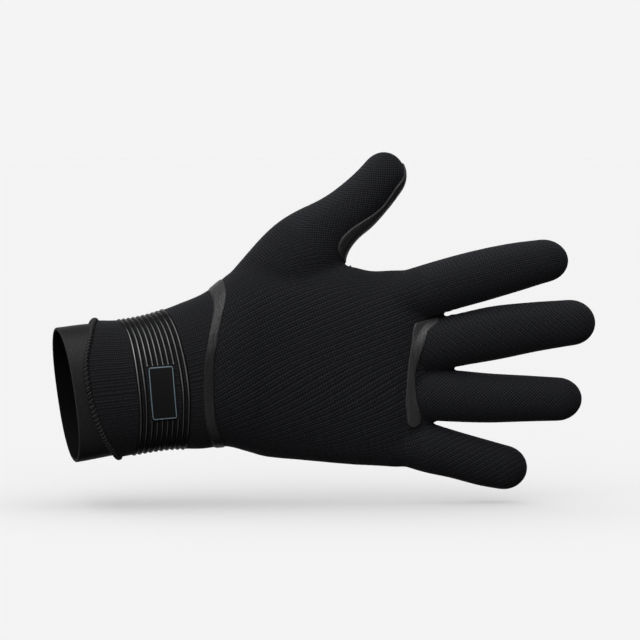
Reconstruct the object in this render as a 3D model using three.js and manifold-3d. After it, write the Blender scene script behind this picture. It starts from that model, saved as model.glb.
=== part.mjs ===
// A right-hand diving glove, seen from the back of the hand: a hollow knit-faced neoprene hand with two
// fingers seamed on, a knit sleeve over a smooth inner cuff, raised seam tapes, grip rings and a blank patch.
// Millimetres. The fingers point along +X, the thumb side is up (+Z) and the back of the hand faces -Y.
// The origin is the centre of the opening that the hand goes into.
import * as THREE from "three";
import Module from "manifold-3d";

const wasm = await Module();
wasm.setup();

// Cuff and palm
const CUFF_LENGTH = 72; // opening to wrist seam
const CUFF_WIDTH = 67.5; // outside the knit sleeve, thumb side to little-finger side
const CUFF_DEPTH = 50;
const PALM_LENGTH = 102; // wrist seam to the webs between the fingers
const PALM_WIDTH = 95;
const PALM_DEPTH = 46; // at the heel of the hand
const PALM_SET = 7; // the hand lies this far palmward of the middle of the opening
const RIM_SLANT = 7.5; // the opening is cut this much longer on the palm side

// Fingers: length from a root inside the palm to the tip, and the thickest outside width and depth
const INDEX = { length: 85.7, width: 26, depth: 24 };
const MIDDLE = { length: 97.7, width: 25.5, depth: 24 };
const RING = { length: 90.3, width: 25, depth: 23 };
const LITTLE = { length: 71, width: 23.5, depth: 21 };
const THUMB = { length: 83.4, width: 26.5, depth: 25 };
const TIP_ROUND = 11.5; // length of a finger's domed end

// Walls, and the clearance left where two pieces meet
const WALL = 2; // neoprene with its knit facing
const SLEEVE_WALL = 1.2;
const SEAL_WALL = 1.5;
const GAP = 0.3;

// Smooth inner cuff and the thread binding on the sleeve's edge
const SEAL_TUCK = 13; // how far the inner cuff runs on under the sleeve
const BINDING_WIDTH = 2.6;
const BINDING_HEIGHT = 0.7; // above the sleeve

// Raised rubber on the outside
const TAPE_WIDTH = 5.4;
const TAPE_HEIGHT = 0.8;
const RING_COUNT = 10;
const RING_WIDTH = 1.1;
const RING_HEIGHT = 0.5;
const WHOLE_RINGS_EACH_SIDE = 2; // the rings between them stop at the patch
const PATCH_WIDTH = 12.5;
const PATCH_HEIGHT = 25.4;
const PATCH_THICKNESS = 0.8;
const PATCH_CORNER = 1.2;
const PATCH_TURN = 4.3; // degrees, following the slope of the cuff
const PATCH_STATION = 0.661; // share of the cuff's length
const PATCH_DROP = 3.7; // below the middle of the cuff there

// How finely the round forms are divided
const TRUNK_SIDES = 28;
const FINGER_SIDES = 14;
const THUMB_SIDES = 16;
const FINGER_STEPS = 6;
const DOME_STEPS = 3;
const PALM_STEPS = 8;
const SLEEVE_STEPS = 8;
const SEAL_STEPS = 4;
const TAPE_STEPS = 12;

// Sections of the cuff and palm. along: share of its length; rise and width: shares of its width; palmward and
// depth: shares of its depth; lean: degrees the section leans back towards the opening at the thumb side
const CUFF_ROWS = [
  { along: -0.15, rise: -0.015, palmward: -0.02, width: 1.01, depth: 1.0, lean: 7.6 },
  { along: 0, rise: 0, palmward: 0, width: 1.01, depth: 1.0, lean: 7.6 },
  { along: 0.22, rise: 0.034, palmward: 0.036, width: 0.995, depth: 0.99, lean: 8 },
  { along: 0.43, rise: 0.056, palmward: 0.068, width: 0.957, depth: 0.97, lean: 8.5 },
  { along: 0.63, rise: 0.09, palmward: 0.1, width: 0.97, depth: 0.95, lean: 8.5 },
  { along: 0.83, rise: 0.128, palmward: 0.124, width: 1.045, depth: 0.95, lean: 8 },
];
const PALM_ROWS = [
  { along: 0, rise: 0.126, palmward: 0, width: 0.79, depth: 1.02, lean: 7 },
  { along: 0.11, rise: 0.164, palmward: 0.02, width: 0.915, depth: 1.02, lean: 4 },
  { along: 0.21, rise: 0.172, palmward: 0.05, width: 0.985, depth: 0.98, lean: 2 },
  { along: 0.4, rise: 0.164, palmward: 0.05, width: 1.006, depth: 0.87, lean: 0 },
  { along: 0.63, rise: 0.142, palmward: 0.03, width: 1.006, depth: 0.74, lean: 0 },
  { along: 0.73, rise: 0.128, palmward: 0.02, width: 0.988, depth: 0.69, lean: 0 },
  { along: 0.86, rise: 0.127, palmward: 0.01, width: 1.0, depth: 0.61, lean: 0 },
  { along: 0.94, rise: 0.126, palmward: 0, width: 0.98, depth: 0.46, lean: 0 },
  { along: 1, rise: 0.124, palmward: 0, width: 0.95, depth: 0.22, lean: 0 },
];

// Digits. root: share of the palm's length, and of its width above the axis; tilt: degrees above +X.
// along: share of the length; shift to the thumb side and width: shares of the width; palmward and depth:
// shares of the depth
const DIGITS = {
  index: {
    size: INDEX, root: { along: 0.844, rise: 0.47 }, tilt: 12.9, sides: FINGER_SIDES,
    rows: [
      { along: 0, shift: 0, palmward: 0, width: 1.0, depth: 0.9 },
      { along: 0.3, shift: 0.066, palmward: 0.02, width: 0.99, depth: 1.0 },
      { along: 0.5, shift: 0.103, palmward: 0.06, width: 0.955, depth: 0.97 },
      { along: 0.7, shift: 0.112, palmward: 0.12, width: 0.895, depth: 0.9 },
      { along: 0.87, shift: 0.1, palmward: 0.2, width: 0.8, depth: 0.8 },
      { along: 1, shift: 0.07, palmward: 0.27, width: 0.77, depth: 0.76 },
    ],
  },
  middle: {
    size: MIDDLE, root: { along: 0.844, rise: 0.205 }, tilt: 8.9, sides: FINGER_SIDES,
    rows: [
      { along: 0, shift: 0.02, palmward: 0, width: 0.97, depth: 0.9 },
      { along: 0.3, shift: 0.068, palmward: 0.02, width: 0.99, depth: 1.0 },
      { along: 0.5, shift: 0.088, palmward: 0.06, width: 1.01, depth: 0.97 },
      { along: 0.7, shift: 0.082, palmward: 0.12, width: 0.935, depth: 0.9 },
      { along: 0.87, shift: 0.05, palmward: 0.2, width: 0.87, depth: 0.82 },
      { along: 1, shift: 0.025, palmward: 0.27, width: 0.84, depth: 0.78 },
    ],
  },
  ring: {
    size: RING, root: { along: 0.844, rise: 0 }, tilt: -1.7, sides: FINGER_SIDES,
    rows: [
      { along: 0, shift: 0.02, palmward: 0, width: 0.98, depth: 0.9 },
      { along: 0.3, shift: -0.01, palmward: 0.02, width: 0.995, depth: 1.0 },
      { along: 0.5, shift: -0.034, palmward: 0.06, width: 0.95, depth: 0.97 },
      { along: 0.7, shift: -0.028, palmward: 0.12, width: 0.89, depth: 0.9 },
      { along: 0.87, shift: -0.028, palmward: 0.2, width: 0.84, depth: 0.82 },
      { along: 1, shift: -0.026, palmward: 0.27, width: 0.81, depth: 0.78 },
    ],
  },
  little: {
    size: LITTLE, root: { along: 0.797, rise: -0.212 }, tilt: -13.8, sides: FINGER_SIDES,
    rows: [
      { along: 0, shift: 0.03, palmward: 0, width: 1.02, depth: 0.95 },
      { along: 0.3, shift: -0.04, palmward: 0.03, width: 1.01, depth: 1.0 },
      { along: 0.5, shift: -0.055, palmward: 0.08, width: 0.96, depth: 0.97 },
      { along: 0.7, shift: -0.078, palmward: 0.15, width: 0.95, depth: 0.92 },
      { along: 0.85, shift: -0.078, palmward: 0.23, width: 0.91, depth: 0.87 },
      { along: 1, shift: -0.075, palmward: 0.3, width: 0.9, depth: 0.83 },
    ],
  },
  thumb: {
    size: THUMB, root: { along: 0.325, rise: 0.525 }, tilt: 49.4, sides: THUMB_SIDES,
    rows: [
      { along: -0.25, shift: 0.5, palmward: 0.1, width: 0.9, depth: 0.7 },
      { along: -0.1, shift: 0.33, palmward: 0.14, width: 1.25, depth: 1.0 },
      { along: 0.1, shift: 0.2, palmward: 0.18, width: 1.5, depth: 1.25 },
      { along: 0.2, shift: 0.2, palmward: 0.2, width: 1.46, depth: 1.2 },
      { along: 0.3, shift: 0.205, palmward: 0.22, width: 1.33, depth: 1.1 },
      { along: 0.4, shift: 0.18, palmward: 0.24, width: 1.156, depth: 1.02 },
      { along: 0.5, shift: 0.115, palmward: 0.26, width: 1.0, depth: 0.98 },
      { along: 0.6, shift: 0.036, palmward: 0.28, width: 0.945, depth: 0.95 },
      { along: 0.75, shift: -0.012, palmward: 0.32, width: 0.865, depth: 0.9 },
      { along: 0.87, shift: -0.01, palmward: 0.36, width: 0.82, depth: 0.82 },
      { along: 1, shift: 0.02, palmward: 0.4, width: 0.83, depth: 0.76 },
    ],
  },
};

// Lines round the cuff and wrist. angle: degrees from the thumb side over the back of the hand, and the palm
// side mirrors them; every other column is a share of the cuff's length from the opening
const CUFF_LINES = [
  { angle: 0, sleeveEdge: 0.26, firstRing: 0.418, lastRing: 0.697, wristSeam: 1.05 },
  { angle: 40, sleeveEdge: 0.215, firstRing: 0.465, lastRing: 0.76, wristSeam: 1.06 },
  { angle: 68, sleeveEdge: 0.168, firstRing: 0.475, lastRing: 0.79, wristSeam: 1.0 },
  { angle: 92, sleeveEdge: 0.163, firstRing: 0.47, lastRing: 0.798, wristSeam: 0.94 },
  { angle: 120, sleeveEdge: 0.207, firstRing: 0.447, lastRing: 0.768, wristSeam: 0.917 },
  { angle: 150, sleeveEdge: 0.27, firstRing: 0.413, lastRing: 0.73, wristSeam: 0.94 },
  { angle: 180, sleeveEdge: 0.3, firstRing: 0.38, lastRing: 0.703, wristSeam: 0.96 },
];

// The seam across the roots of the middle and ring fingers. across: share of the way from the index-middle web
// to the ring-little web; back: share of the palm's length behind the webs
const FINGER_SEAM_ROWS = [
  { across: 0, back: -0.045 },
  { across: 0.03, back: -0.01 },
  { across: 0.09, back: 0.026 },
  { across: 0.22, back: 0.05 },
  { across: 0.5, back: 0.074 },
  { across: 0.68, back: 0.08 },
  { across: 0.86, back: 0.074 },
  { across: 0.95, back: 0.055 },
  { across: 1, back: 0.02 },
  { across: 1.03, back: -0.03 },
];

// The tape up the index side of the thumb. along: share of the thumb; from and to: degrees round it from its
// outer edge over the back
const THUMB_TAPE_ROWS = [
  { along: 0.3, from: 138, to: 190 },
  { along: 0.4, from: 140, to: 190 },
  { along: 0.52, from: 143, to: 190 },
  { along: 0.65, from: 150, to: 192 },
  { along: 0.8, from: 160, to: 196 },
  { along: 0.93, from: 170, to: 200 },
];

const TRUNK_SQUARENESS = 2.35;
const DIGIT_SQUARENESS = 2.15;
const WEB_STATION = CUFF_LENGTH + PALM_LENGTH;
const THROUGH = 2 * CUFF_DEPTH; // further than any part reaches to the front or back
const { degToRad, euclideanModulo, lerp, clamp } = THREE.MathUtils;

// A column of a table at any share: a cubic through the rows, its slope at a row taken from the rows beside it
function read(rows, key, column, at) {
  const last = rows.length - 1;
  const after = rows.findIndex((row) => row[key] > at);
  const i = after < 0 ? last - 1 : Math.max(after - 1, 0);
  const slope = (k) => {
    const [a, b] = [rows[Math.max(k - 1, 0)], rows[Math.min(k + 1, last)]];
    return (b[column] - a[column]) / (b[key] - a[key]);
  };
  const step = rows[i + 1][key] - rows[i][key];
  const t = clamp((at - rows[i][key]) / step, 0, 1);
  const [p, q, m, n] = [rows[i][column], rows[i + 1][column], slope(i) * step, slope(i + 1) * step];
  return p + t * (m + t * (3 * (q - p) - 2 * m - n + t * (2 * (p - q) + m + n)));
}

// The cuff and palm in one table, in mm
const trunkRow = (row, start, length, width, depth, set) => ({
  station: start + row.along * length,
  z: row.rise * width,
  y: set + row.palmward * depth,
  halfWidth: (row.width * width) / 2,
  halfDepth: (row.depth * depth) / 2,
  lean: row.lean,
});
const TRUNK_ROWS = [
  ...CUFF_ROWS.map((row) => trunkRow(row, 0, CUFF_LENGTH, CUFF_WIDTH, CUFF_DEPTH, 0)),
  ...PALM_ROWS.map((row) => trunkRow(row, CUFF_LENGTH, PALM_LENGTH, PALM_WIDTH, PALM_DEPTH, PALM_SET)),
];

// A line round the cuff: its station in mm at an angle in degrees
const cuffLine = (column, moved = 0) => (angle) => {
  const turned = euclideanModulo(angle, 360);
  return CUFF_LENGTH * read(CUFF_LINES, "angle", column, Math.min(turned, 360 - turned)) + moved;
};
const rim = (angle) => (RIM_SLANT / 2) * Math.sin(degToRad(angle));

// A point on a rounded-oval section: angle 0 at the thumb side, 90 at the back of the hand
function onSection(centre, ahead, halfWidth, halfDepth, squareness, angle) {
  const up = new THREE.Vector3(-ahead.z, 0, ahead.x).normalize();
  const front = new THREE.Vector3().crossVectors(ahead, up).normalize();
  const [c, s] = [Math.cos(degToRad(angle)), Math.sin(degToRad(angle))];
  const swell = (v) => Math.sign(v) * Math.abs(v) ** (2 / squareness);
  return centre
    .clone()
    .addScaledVector(up, swell(c) * halfWidth)
    .addScaledVector(front, swell(s) * halfDepth);
}

// The surface of the cuff and palm at a station and angle, moved outwards by an offset
function onTrunk(station, angle, offset) {
  const at = (column, where = station) => read(TRUNK_ROWS, "station", column, where);
  const lean = degToRad(at("lean"));
  const drift = (at("y", station + 1) - at("y", station - 1)) / 2;
  return onSection(
    new THREE.Vector3(station, at("y"), at("z")),
    new THREE.Vector3(Math.cos(lean), drift, Math.sin(lean)).normalize(),
    at("halfWidth") + offset,
    at("halfDepth") + offset,
    TRUNK_SQUARENESS,
    angle,
  );
}

// A digit's surface at a share of its length. The last stretch closes in a quarter-ellipse dome.
function onDigit(digit, along, angle, offset) {
  const { length, width, depth } = digit.size;
  const tilt = degToRad(digit.tilt);
  const ahead = new THREE.Vector3(Math.cos(tilt), 0, Math.sin(tilt));
  const side = new THREE.Vector3(-Math.sin(tilt), 0, Math.cos(tilt));
  const at = (column) => read(digit.rows, "along", column, along);
  const intoDome = clamp((along * length - (length - TIP_ROUND)) / TIP_ROUND, 0, 1);
  const closing = Math.sqrt(1 - intoDome ** 2);
  const centre = new THREE.Vector3(
    CUFF_LENGTH + digit.root.along * PALM_LENGTH,
    PALM_SET + at("palmward") * depth,
    digit.root.rise * PALM_WIDTH,
  )
    .addScaledVector(ahead, along * length + offset * intoDome)
    .addScaledVector(side, at("shift") * width);
  const halfWidth = ((at("width") * width) / 2 + offset) * closing;
  const halfDepth = ((at("depth") * depth) / 2 + offset) * closing;
  return onSection(centre, ahead, halfWidth, halfDepth, DIGIT_SQUARENESS, angle);
}

// A manifold-3d solid with its faces pointing out
function solid(vertices, faces) {
  const make = (triangles) =>
    new wasm.Manifold(
      new wasm.Mesh({
        numProp: 3,
        vertProperties: new Float32Array(vertices),
        triVerts: new Uint32Array(triangles),
      }),
    );
  const made = make(faces);
  return made.volume() > 0 ? made : make(faces.toReversed());
}

// A closed solid from rings of points. Its ends close on their middles; a hollow one joins last ring to first.
function skin(rings, hollow = false) {
  const sides = rings[0].length;
  const points = rings.flat();
  const faces = [];
  const bands = hollow ? rings.length : rings.length - 1;
  for (let r = 0; r < bands; r++) {
    const next = ((r + 1) % rings.length) * sides;
    for (let k = 0; k < sides; k++) {
      const l = (k + 1) % sides;
      faces.push(r * sides + k, next + k, next + l, r * sides + k, next + l, r * sides + l);
    }
  }
  if (!hollow) {
    for (const ring of [0, rings.length - 1]) {
      const middle = rings[ring].reduce((sum, p) => sum.add(p), new THREE.Vector3()).divideScalar(sides);
      for (let k = 0; k < sides; k++) {
        const [a, b] = [ring * sides + k, ring * sides + ((k + 1) % sides)];
        faces.push(points.length, ...(ring === 0 ? [a, b] : [b, a]));
      }
      points.push(middle);
    }
  }
  return solid(points.flatMap((p) => [p.x, p.y, p.z]), faces);
}

const shares = (count) => Array.from({ length: count + 1 }, (_, i) => i / count);
const angles = (sides) => Array.from({ length: sides }, (_, k) => (360 * k) / sides);
const trunkRing = (fromLine, toLine, share, offset) =>
  angles(TRUNK_SIDES).map((a) => onTrunk(lerp(fromLine(a), toLine(a), share), a, offset));

// A full length of the cuff or palm between two lines round it
function trunk(fromLine, toLine, offset, steps) {
  return skin(shares(steps).map((share) => trunkRing(fromLine, toLine, share, offset)));
}

// A hollow band round the cuff or palm between two lines and two heights
function band(fromLine, toLine, low, high, steps = 1) {
  const walk = (offset, along) => along.map((share) => trunkRing(fromLine, toLine, share, offset));
  return skin([...walk(high, shares(steps)), ...walk(low, shares(steps).toReversed())], true);
}

function digitSolid(digit, offset) {
  const start = digit.rows[0].along;
  const dome = 1 - TIP_ROUND / digit.size.length;
  const almostTip = 0.997; // leaves the last ring a small face instead of a point
  const stations = shares(FINGER_STEPS).map((share) => lerp(start, dome, share));
  for (let k = 1; k < DOME_STEPS; k++) {
    stations.push(lerp(dome, 1, Math.sin((Math.PI / 2) * (k / DOME_STEPS))));
  }
  stations.push(lerp(dome, 1, almostTip));
  return skin(
    stations.map((along) => angles(digit.sides).map((angle) => onDigit(digit, along, angle, offset))),
  );
}

// The outside of the hand from behind the wrist seam to the fingertips, moved outwards by an offset
function form(offset, behind = 2 * TAPE_WIDTH) {
  const webs = () => WEB_STATION + Math.min(offset, 0);
  return Object.values(DIGITS).reduce(
    (whole, digit) => whole.add(digitSolid(digit, offset)),
    trunk(cuffLine("wristSeam", -behind), webs, offset, PALM_STEPS),
  );
}

// A block through the glove over an outline drawn from the back of the hand
function block(outline, furthest = THROUGH) {
  const shape = new THREE.Shape(outline.map(([x, z]) => new THREE.Vector2(x, z)));
  const geometry = new THREE.ExtrudeGeometry(shape, { depth: furthest + THROUGH, bevelEnabled: false });
  geometry.rotateX(Math.PI / 2).translate(0, furthest, 0);
  const position = geometry.getAttribute("position");
  const known = new Map();
  const vertices = [];
  const faces = [];
  for (let i = 0; i < position.count; i++) {
    const point = [position.getX(i), position.getY(i), position.getZ(i)];
    const key = point.map((value) => value.toFixed(4)).join();
    if (!known.has(key)) {
      known.set(key, vertices.length / 3);
      vertices.push(...point);
    }
    faces.push(known.get(key));
  }
  return solid(vertices, faces);
}

// A line on the plane moved to its left by a distance
function beside(line, distance) {
  return line.map(([x, z], i) => {
    const before = line[Math.max(i - 1, 0)];
    const after = line[Math.min(i + 1, line.length - 1)];
    const [dx, dz] = [after[0] - before[0], after[1] - before[1]];
    const long = Math.hypot(dx, dz);
    return [x - (dz / long) * distance, z + (dx / long) * distance];
  });
}

// The height at any X of the line that runs between two neighbouring fingers
function between(upper, lower) {
  const halfway = (along) => {
    const [a, b] = [onDigit(upper, along, 180, 0), onDigit(lower, along, 0, 0)];
    return [(a.x + b.x) / 2, (a.z + b.z) / 2];
  };
  const [nearRoot, nearTip] = [0.25, 0.6]; // shares of the fingers' lengths
  const [near, far] = [halfway(nearRoot), halfway(nearTip)];
  return (x) => near[1] + ((far[1] - near[1]) * (x - near[0])) / (far[0] - near[0]);
}

const { index, middle, ring, little, thumb } = DIGITS;
const aboveMiddle = between(index, middle);
const belowMiddle = between(middle, ring);
const belowRing = between(ring, little);
const TIPS_X = WEB_STATION + MIDDLE.length;

const FINGER_SEAM = FINGER_SEAM_ROWS.map(({ across, back }) => [
  WEB_STATION - back * PALM_LENGTH,
  lerp(aboveMiddle(WEB_STATION), belowRing(WEB_STATION), across),
]);
// Everything past the finger seam, with the cut moved towards the tips
const insetFingers = (moved) =>
  block([...beside(FINGER_SEAM, moved), [TIPS_X, belowRing(TIPS_X)], [TIPS_X, aboveMiddle(TIPS_X)]]);
// Everything to one side of the line between the middle and ring fingers
const besideMiddle = (side) => {
  const behind = CUFF_LENGTH;
  const edge = (x) => [x, belowMiddle(x) + (side * GAP) / 2];
  return block([edge(behind), edge(TIPS_X), [TIPS_X, side * THROUGH], [behind, side * THROUGH]]);
};

// The patch's outline with rounded corners, grown by a margin
function patchBlock(margin) {
  const [halfWidth, halfHeight] = [PATCH_WIDTH / 2 + margin, PATCH_HEIGHT / 2 + margin];
  const corner = PATCH_CORNER + margin;
  const station = PATCH_STATION * CUFF_LENGTH;
  const centre = [station, read(TRUNK_ROWS, "station", "z", station) - PATCH_DROP];
  const turn = degToRad(PATCH_TURN);
  const outline = [];
  for (const [sx, sz, start] of [[1, 1, 0], [-1, 1, 90], [-1, -1, 180], [1, -1, 270]]) {
    for (const arc of [0, 45, 90]) {
      const angle = degToRad(start + arc);
      const x = sx * (halfWidth - corner) + corner * Math.cos(angle);
      const z = sz * (halfHeight - corner) + corner * Math.sin(angle);
      outline.push([
        centre[0] + x * Math.cos(turn) - z * Math.sin(turn),
        centre[1] + x * Math.sin(turn) + z * Math.cos(turn),
      ]);
    }
  }
  return block(outline, 0);
}

// A strip lying on a digit, from below its surface up to a height
function digitStrip(digit, rows, high) {
  const [start, end] = [rows[0].along, rows.at(-1).along];
  const below = -WALL / 2;
  const rings = shares(TAPE_STEPS).map((share) => {
    const along = lerp(start, end, share);
    const [from, to] = ["from", "to"].map((edge) => read(rows, "along", edge, along));
    const across = shares(4).map((t) => lerp(from, to, t));
    return [
      ...across.map((angle) => onDigit(digit, along, angle, high)),
      ...across.toReversed().map((angle) => onDigit(digit, along, angle, below)),
    ];
  });
  return skin(rings);
}

// Hand and fingers
const skinTop = form(GAP);
const tapeLayer = form(GAP + TAPE_HEIGHT).subtract(skinTop);
const behindWrist = band(
  cuffLine("wristSeam", -3 * TAPE_WIDTH),
  cuffLine("wristSeam", GAP / 2),
  -2 * WALL,
  2 * WALL,
  SLEEVE_STEPS,
);
const shell = form(0).subtract(form(-WALL, 3 * TAPE_WIDTH)).subtract(behindWrist);
const fingers = shell.intersect(insetFingers(GAP / 2));
const parts = {};
parts.hand_shell = shell.subtract(insetFingers(-GAP / 2));
parts.middle_finger = fingers.intersect(besideMiddle(1));
parts.ring_finger = fingers.intersect(besideMiddle(-1));

// Cuff
const sealTop = -SLEEVE_WALL - GAP;
parts.cuff_sleeve = band(
  cuffLine("sleeveEdge"),
  cuffLine("wristSeam", -GAP / 2),
  -SLEEVE_WALL,
  0,
  SLEEVE_STEPS,
);
parts.seal_cuff = band(rim, cuffLine("sleeveEdge", SEAL_TUCK), sealTop - SEAL_WALL, sealTop, SEAL_STEPS);
parts.hem_binding = band(
  cuffLine("sleeveEdge", -GAP - BINDING_WIDTH),
  cuffLine("sleeveEdge", -GAP),
  -SLEEVE_WALL,
  BINDING_HEIGHT,
);

// Grip rings and patch
const clearOfPatch = patchBlock(2 * GAP);
for (let k = 0; k < RING_COUNT; k++) {
  const centre = (angle) =>
    lerp(cuffLine("firstRing")(angle), cuffLine("lastRing")(angle), k / (RING_COUNT - 1));
  const edge = (side) => (angle) => centre(angle) + (side * RING_WIDTH) / 2;
  const whole = band(edge(-1), edge(1), GAP, GAP + RING_HEIGHT);
  const stops = k >= WHOLE_RINGS_EACH_SIDE && k < RING_COUNT - WHOLE_RINGS_EACH_SIDE;
  parts[`grip_ring_${k + 1}`] = stops ? whole.subtract(clearOfPatch) : whole;
}
parts.blank_patch = band(
  cuffLine("sleeveEdge"),
  cuffLine("wristSeam"),
  GAP,
  GAP + PATCH_THICKNESS,
  SLEEVE_STEPS,
).intersect(patchBlock(0));

// Seam tapes
parts.wrist_tape = tapeLayer.intersect(
  band(cuffLine("wristSeam", -TAPE_WIDTH / 2), cuffLine("wristSeam", TAPE_WIDTH / 2), -WALL, 4 * WALL),
);
parts.finger_tape = tapeLayer.intersect(
  block([...beside(FINGER_SEAM, TAPE_WIDTH / 2), ...beside(FINGER_SEAM, -TAPE_WIDTH / 2).toReversed()]),
);
parts.thumb_tape = digitStrip(thumb, THUMB_TAPE_ROWS, GAP + TAPE_HEIGHT).subtract(skinTop);

// Colours by kind of material
const KNIT = { color: "#1b1c1f", roughness: 0.95 };
const SMOOTH = { color: "#161618", roughness: 0.5 };
const TAPE = { color: "#2b2b2d", roughness: 0.45 };
const THREAD = { color: "#101011", roughness: 0.9 };
const lookOf = (name) => {
  if (name.startsWith("grip_ring")) return TAPE;
  const looks = {
    seal_cuff: SMOOTH,
    hem_binding: THREAD,
    blank_patch: SMOOTH,
    wrist_tape: TAPE,
    finger_tape: TAPE,
    thumb_tape: TAPE,
  };
  return looks[name] ?? KNIT;
};

const glove = new THREE.Group();
glove.name = "diving_glove";
for (const [name, part] of Object.entries(parts)) {
  const { vertProperties, triVerts } = part.getMesh();
  const geometry = new THREE.BufferGeometry();
  geometry.setAttribute("position", new THREE.BufferAttribute(vertProperties, 3));
  geometry.setIndex(new THREE.BufferAttribute(triVerts, 1));
  geometry.computeVertexNormals();
  const mesh = new THREE.Mesh(geometry, new THREE.MeshStandardMaterial({ metalness: 0, ...lookOf(name) }));
  mesh.name = name;
  glove.add(mesh);
}

export default glove;
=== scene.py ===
"""Looks of a right-hand diving glove round its CAD part: a knit-faced neoprene hand with two fingers
sewn on, a knit sleeve over a smooth rubber cuff, satin seam tapes, printed grip rings and a blank
patch.

Sizes are in millimetres in the part's frame: fingers along +X, thumb side up (+Z), back of the hand
towards -Y, origin at the centre of the opening. Meshes are turned to metres as they are made."""

import math

import bpy
import numpy as np
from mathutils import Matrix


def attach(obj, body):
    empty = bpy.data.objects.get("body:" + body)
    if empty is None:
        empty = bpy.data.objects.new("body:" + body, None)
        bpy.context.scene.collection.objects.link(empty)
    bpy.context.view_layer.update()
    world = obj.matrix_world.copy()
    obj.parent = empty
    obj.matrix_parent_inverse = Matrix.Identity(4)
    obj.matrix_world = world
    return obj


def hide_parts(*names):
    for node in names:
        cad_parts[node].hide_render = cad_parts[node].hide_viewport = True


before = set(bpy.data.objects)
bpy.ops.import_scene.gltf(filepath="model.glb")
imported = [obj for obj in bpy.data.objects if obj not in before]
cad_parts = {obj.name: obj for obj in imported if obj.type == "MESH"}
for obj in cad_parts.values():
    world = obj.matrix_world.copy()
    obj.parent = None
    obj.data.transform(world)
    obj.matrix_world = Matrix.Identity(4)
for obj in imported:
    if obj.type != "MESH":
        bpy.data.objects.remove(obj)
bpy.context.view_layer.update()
MM = 0.001


# Sizes of the glove

CUFF_LENGTH = 72
CUFF_WIDTH = 67.5
CUFF_DEPTH = 50
PALM_LENGTH = 102
PALM_WIDTH = 95
PALM_DEPTH = 46
PALM_SET = 7  # the hand lies this far palmward of the middle of the opening
WEB_STATION = CUFF_LENGTH + PALM_LENGTH
TRUNK_SQUARENESS = 2.35  # the power of each section's oval; 2 is an ellipse
DIGIT_SQUARENESS = 2.15
TIP_ROUND = 11.5  # how far from its end a digit starts to close
RIM_SLANT = 7.5  # how far the back of the opening's edge lies ahead of its palm side
NEOPRENE = 2.0
SLEEVE_WALL = 1.2
SEAL_WALL = 1.5
SEAL_DEPTH = 1.5  # the rubber cuff lies this far under the outside of the sleeve
SEAL_TUCK = 13  # how far it runs on under the sleeve
TAPE_WIDTH = 5.4
TAPE_HEIGHT = 0.6
THUMB_TAPE_HEIGHT = 0.7
RING_COUNT = 10
WHOLE_RINGS_EACH_SIDE = 2
# turn: degrees; station and drop: where its middle lies, along the cuff and below the cuff's own middle
PATCH = {
    "width": 12.5,
    "height": 25.4,
    "thickness": 0.9,
    "corner": 1.4,
    "turn": 4.3,
    "station": 47.6,
    "drop": 3.7,
}


def table(columns, *rows):
    """A small table kept as one array for each named column."""
    return dict(zip(columns.split(), np.array(rows, float).T))


CUFF_ROWS = table(
    "along rise palmward width depth lean",
    (-0.15, -0.015, -0.02, 1.01, 1.0, 7.6),
    (0, 0, 0, 1.01, 1.0, 7.6),
    (0.22, 0.034, 0.036, 0.995, 0.99, 8),
    (0.43, 0.056, 0.068, 0.957, 0.97, 8.5),
    (0.63, 0.09, 0.1, 0.97, 0.95, 8.5),
    (0.83, 0.128, 0.124, 1.045, 0.95, 8),
)
PALM_ROWS = table(
    "along rise palmward width depth lean",
    (0, 0.126, 0, 0.79, 1.02, 7),
    (0.11, 0.164, 0.02, 0.915, 1.02, 4),
    (0.21, 0.172, 0.05, 0.985, 0.98, 2),
    (0.4, 0.164, 0.05, 1.006, 0.87, 0),
    (0.63, 0.142, 0.03, 1.006, 0.74, 0),
    (0.73, 0.128, 0.02, 0.988, 0.69, 0),
    (0.86, 0.127, 0.01, 1.0, 0.61, 0),
    (0.94, 0.126, 0, 0.98, 0.46, 0),
    (1, 0.124, 0, 0.95, 0.22, 0),
)
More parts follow.
